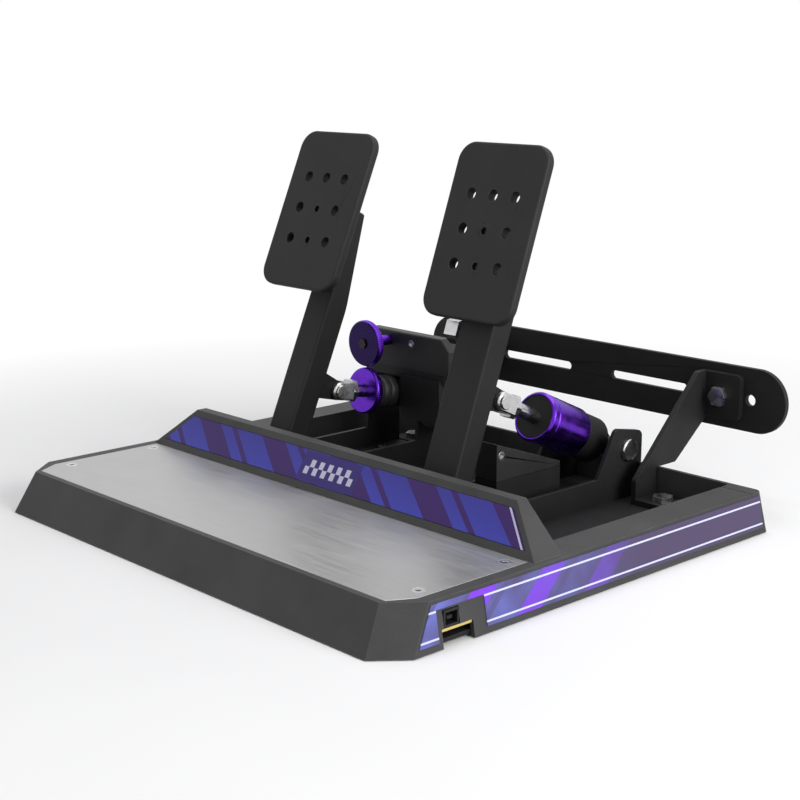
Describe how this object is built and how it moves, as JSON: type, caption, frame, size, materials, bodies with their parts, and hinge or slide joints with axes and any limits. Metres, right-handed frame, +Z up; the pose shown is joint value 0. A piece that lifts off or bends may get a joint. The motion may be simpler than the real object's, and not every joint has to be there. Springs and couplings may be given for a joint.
{
  "type": "sim racing pedal set",
  "caption": "Low base with steel heel plate and leaning toe fascia, carrying hinged brake and throttle pedals with return struts and a slotted rear mounting bar.",
  "frame": {"origin": "centre of the whole footprint, on the floor that the rubber feet stand on", "axes": "+X to the driver's right, +Y away from the driver towards the rear bar, +Z up"},
  "size_m": [0.4, 0.4066, 0.2561],
  "materials": {
    "shell_coat": "dark grey fine-textured powder coat",
    "sheet_coat": "black satin powder coat on sheet steel",
    "heel_steel": "brushed across the width",
    "fascia_print": "blue and purple stripes, satin",
    "band_print": "dusky purple with thin stripes, satin",
    "foot_rubber": "black moulded rubber",
    "black_screws": "black oxide",
    "bright_fasteners": "bright zinc",
    "pin_steel": "ground steel",
    "clevis_alloy": "machined",
    "dark_alloy": "black anodised",
    "plate_alloy": "dark grey anodised, bead blasted",
    "purple_alloy": "purple anodised",
    "bush_bronze": "sintered bronze",
    "spacer_nylon": "black nylon",
    "spring_steel": "spring steel",
    "soft_rings": "black polyurethane",
    "case_plastic": "black moulded plastic",
    "cover_plastic": "dark grey moulded plastic",
    "circuit_board": "green solder mask with plated edge",
    "magnet_nickel": "nickel plated"
  },
  "bodies": {
    "base": {"base_shell": "shell_coat", "base_pan": "sheet_coat", "rubber_feet": "foot_rubber", "pan_screws": "black_screws", "heel_plate": "heel_steel", "deck_screws": "bright_fasteners", "toe_fascia": "shell_coat", "fascia_panel": "fascia_print", "side_bands": "band_print", "port_socket": "case_plastic", "interface_board": "circuit_board", "rear_bar": "sheet_coat", "strut_left": "sheet_coat", "strut_right": "sheet_coat", "strut_fasteners": "bright_fasteners", "module_bolts": "black_screws", "throttle_channel": "sheet_coat", "throttle_pivot_pin": "pin_steel", "throttle_trunnion_pin": "pin_steel", "trunnion_spacers": "spacer_nylon", "throttle_sensor_case": "case_plastic", "throttle_sensor_cover": "cover_plastic", "throttle_sensor_board": "circuit_board", "brake_channel": "sheet_coat", "brake_pivot_pin": "pin_steel", "brake_trunnion_pin": "pin_steel", "brake_housing": "case_plastic", "brake_housing_lid": "cover_plastic", "housing_screws": "bright_fasteners", "amplifier_board": "circuit_board", "gain_encoder": "case_plastic"},
    "throttle_pedal": {"throttle_arm": "dark_alloy", "throttle_bushes": "bush_bronze", "throttle_plate_carrier": "dark_alloy", "throttle_plate": "plate_alloy", "throttle_plate_screws": "black_screws", "throttle_clamp_bolt": "bright_fasteners", "throttle_magnet": "magnet_nickel"},
    "throttle_cartridge": {"throttle_end_eye": "dark_alloy", "throttle_spring": "spring_steel"},
    "throttle_sleeve_ring": {"throttle_sleeve": "purple_alloy", "throttle_guide_ring": "dark_alloy"},
    "throttle_plunger": {"throttle_rod": "pin_steel", "throttle_lock_nut": "bright_fasteners", "throttle_clevis": "clevis_alloy", "throttle_clevis_pin": "pin_steel"},
    "brake_pedal": {"brake_arm": "dark_alloy", "brake_bushes": "bush_bronze", "brake_plate_carrier": "dark_alloy", "brake_plate": "plate_alloy", "brake_plate_screws": "black_screws"},
    "brake_cartridge": {"load_cell": "dark_alloy", "brake_elastomers": "soft_rings"},
    "brake_plunger": {"brake_rod": "pin_steel", "brake_lock_nut": "bright_fasteners", "brake_clevis": "clevis_alloy", "brake_clevis_pin": "pin_steel"},
    "brake_preload_dial": {"brake_preload_collar": "purple_alloy"},
    "gain_dial": {"gain_knob": "purple_alloy", "gain_knob_screw": "black_screws"}
  },
  "joints": [
    {"name": "throttle_press", "type": "hinge", "parent": "base", "child": "throttle_pedal", "pos_m": [0.063, -0.03125, 0.02], "axis": [-1, 0, 0], "range_deg": [0, 14], "stiffness_Nm_per_rad": 12, "springref_deg": -8.59},
    {"name": "throttle_strut_swivel", "type": "hinge", "parent": "base", "child": "throttle_cartridge", "pos_m": [0.063, 0.12575, 0.0395], "axis": [1, 0, 0], "range_deg": [0, 4.2]},
    {"name": "throttle_strut_slide", "type": "slide", "parent": "throttle_cartridge", "child": "throttle_plunger", "axis": [0, 0.9118, -0.4107], "range_m": [0, 0.0194], "deforming": ["throttle_spring"]},
    {"name": "throttle_sleeve_turn", "type": "hinge", "parent": "throttle_cartridge", "child": "throttle_sleeve_ring", "pos_m": [0.063, 0.08016, 0.06004], "axis": [0, -0.9118, 0.4107], "continuous": true},
    {"name": "brake_press", "type": "hinge", "parent": "base", "child": "brake_pedal", "pos_m": [-0.104, -0.03125, 0.02], "axis": [-1, 0, 0], "range_deg": [0, 6], "stiffness_Nm_per_rad": 120, "springref_deg": -1.15},
    {"name": "brake_strut_swivel", "type": "hinge", "parent": "base", "child": "brake_cartridge", "pos_m": [-0.104, 0.10175, 0.0532], "axis": [1, 0, 0], "range_deg": [0, 3.8]},
    {"name": "brake_strut_slide", "type": "slide", "parent": "brake_cartridge", "child": "brake_plunger", "axis": [0, 0.9866, -0.1632], "range_m": [0, 0.0055], "deforming": ["brake_elastomers"]},
    {"name": "brake_preload_turn", "type": "hinge", "parent": "brake_plunger", "child": "brake_preload_dial", "pos_m": [-0.104, 0.05365, 0.06116], "axis": [0, -0.9866, 0.1632], "continuous": true},
    {"name": "brake_gain_turn", "type": "hinge", "parent": "base", "child": "gain_dial", "pos_m": [-0.104, 0.05475, 0.0977], "axis": [0, -1, 0], "range_deg": [-150, 150]}
  ],
  "couplings": [
    {"joint": "throttle_strut_swivel", "follows": "throttle_press", "ratio": 0.28311},
    {"joint": "throttle_strut_slide", "follows": "throttle_press", "m_per_rad": 0.078703},
    {"joint": "brake_strut_swivel", "follows": "brake_press", "ratio": 0.60483},
    {"joint": "brake_strut_slide", "follows": "brake_press", "m_per_rad": 0.051209}
  ]
}
